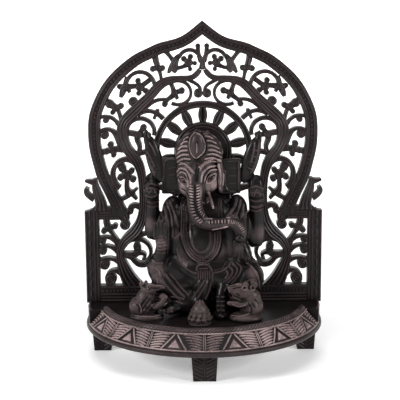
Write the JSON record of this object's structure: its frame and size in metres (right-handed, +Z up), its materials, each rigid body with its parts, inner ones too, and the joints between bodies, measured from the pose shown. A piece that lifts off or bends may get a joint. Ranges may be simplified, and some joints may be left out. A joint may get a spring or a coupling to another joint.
{
  "type": "ganesha idol",
  "caption": "Carved dark wood shrine: seated elephant-headed figure on a half-round footed base, with mice, a heap of sweets and a pierced vine arch board behind.",
  "frame": {"origin": "middle of the box's bottom, in the plane that the three feet stand on", "axes": "+Z up, -Y towards the viewer of the figure's face, +X to the viewer's right"},
  "size_m": [0.2206, 0.13, 0.305],
  "materials": {
    "dark_wood": "black-brown stained, satin, fine grain",
    "figure_wood": "black-brown stained, waxed, pale dusty edges",
    "dusty_wood": "stained, carved, with pale dust in the relief",
    "pale_dowel": "plain dowel"
  },
  "bodies": {
    "base": {"base_plate": "dark_wood", "base_block": "dark_wood", "base_rim": "dusty_wood", "front_leg": "dusty_wood", "left_leg": "dusty_wood", "right_leg": "dusty_wood", "leg_dowels": "pale_dowel", "idol_figure": "figure_wood", "left_mouse": "figure_wood", "right_mouse": "figure_wood", "sweets_bowl": "figure_wood", "sweets_pile": "figure_wood", "figure_dowels": "pale_dowel"},
    "arch_board": {"fret_panel": "dark_wood"}
  },
  "joints": [
    {"name": "arch_board_lift", "type": "slide", "parent": "base", "child": "arch_board", "axis": [0, 0, 1], "range_m": [0, 0.03]}
  ]
}
